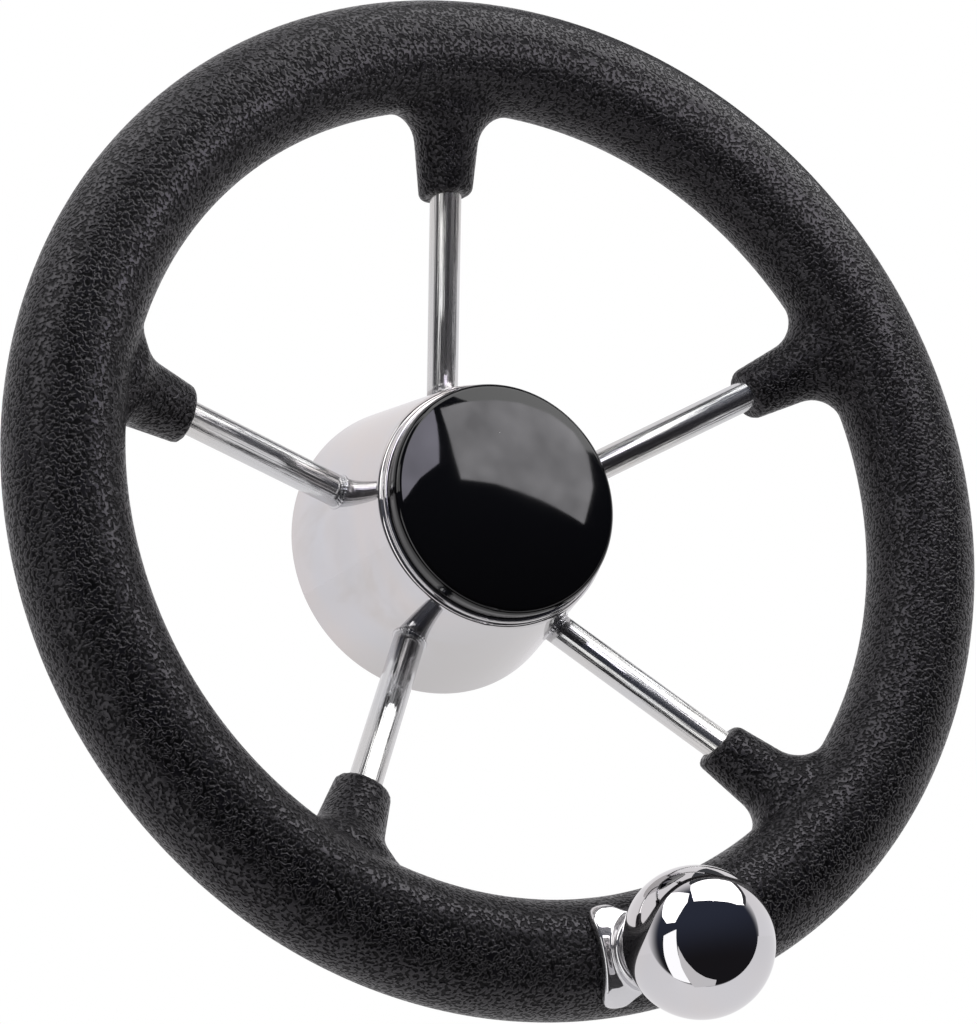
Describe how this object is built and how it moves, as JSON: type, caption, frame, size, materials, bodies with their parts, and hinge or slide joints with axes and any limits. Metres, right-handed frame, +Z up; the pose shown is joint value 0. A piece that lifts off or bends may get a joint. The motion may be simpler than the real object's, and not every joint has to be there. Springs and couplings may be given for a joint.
{
  "type": "boat steering wheel",
  "caption": "Round boat steering wheel with a moulded foam grip, straight tubular spokes leaning back to a conical steel hub, a black centre cap and a turning knob on the rim.",
  "frame": {"origin": "on the wheel's axis at the front face of the hub boss, where the shaft nut seats", "axes": "+Y along the shaft, away from the driver; +Z up, along the top spoke; +X to the driver's right"},
  "size_m": [0.28, 0.1261, 0.2828],
  "materials": {
    "grip_foam": "satin, leather grain",
    "polished_steel": "mirror polished stainless steel",
    "plain_steel": "turned or drawn stainless steel",
    "black_plastic": "high gloss",
    "ring_rubber": "matte"
  },
  "bodies": {
    "wheel": {"grip": "grip_foam", "rim_core": "plain_steel", "hub_bell": "polished_steel", "hub_plate": "plain_steel", "hub_boss": "plain_steel", "centre_cap": "black_plastic", "cap_seal": "ring_rubber", "knob_base": "polished_steel", "knob_spindle": "plain_steel", "thrust_washer": "plain_steel", "inner_spacer": "plain_steel", "rear_washer": "polished_steel", "rear_nut": "polished_steel", "spoke_1": "polished_steel", "spoke_2": "polished_steel", "spoke_3": "polished_steel", "spoke_4": "polished_steel", "spoke_5": "polished_steel", "rear_bearing_inner": "plain_steel", "front_bearing_inner": "plain_steel"},
    "knob": {"knob_ball": "polished_steel", "outer_spacer": "plain_steel", "bearing_circlip": "plain_steel", "rear_bearing_outer": "plain_steel", "front_bearing_outer": "plain_steel", "rear_bearing_balls": "plain_steel", "front_bearing_balls": "plain_steel"}
  },
  "joints": [
    {"name": "knob_spin", "type": "hinge", "parent": "wheel", "child": "knob", "pos_m": [0, -0.0716, -0.125], "axis": [0, -1, 0], "continuous": true}
  ]
}
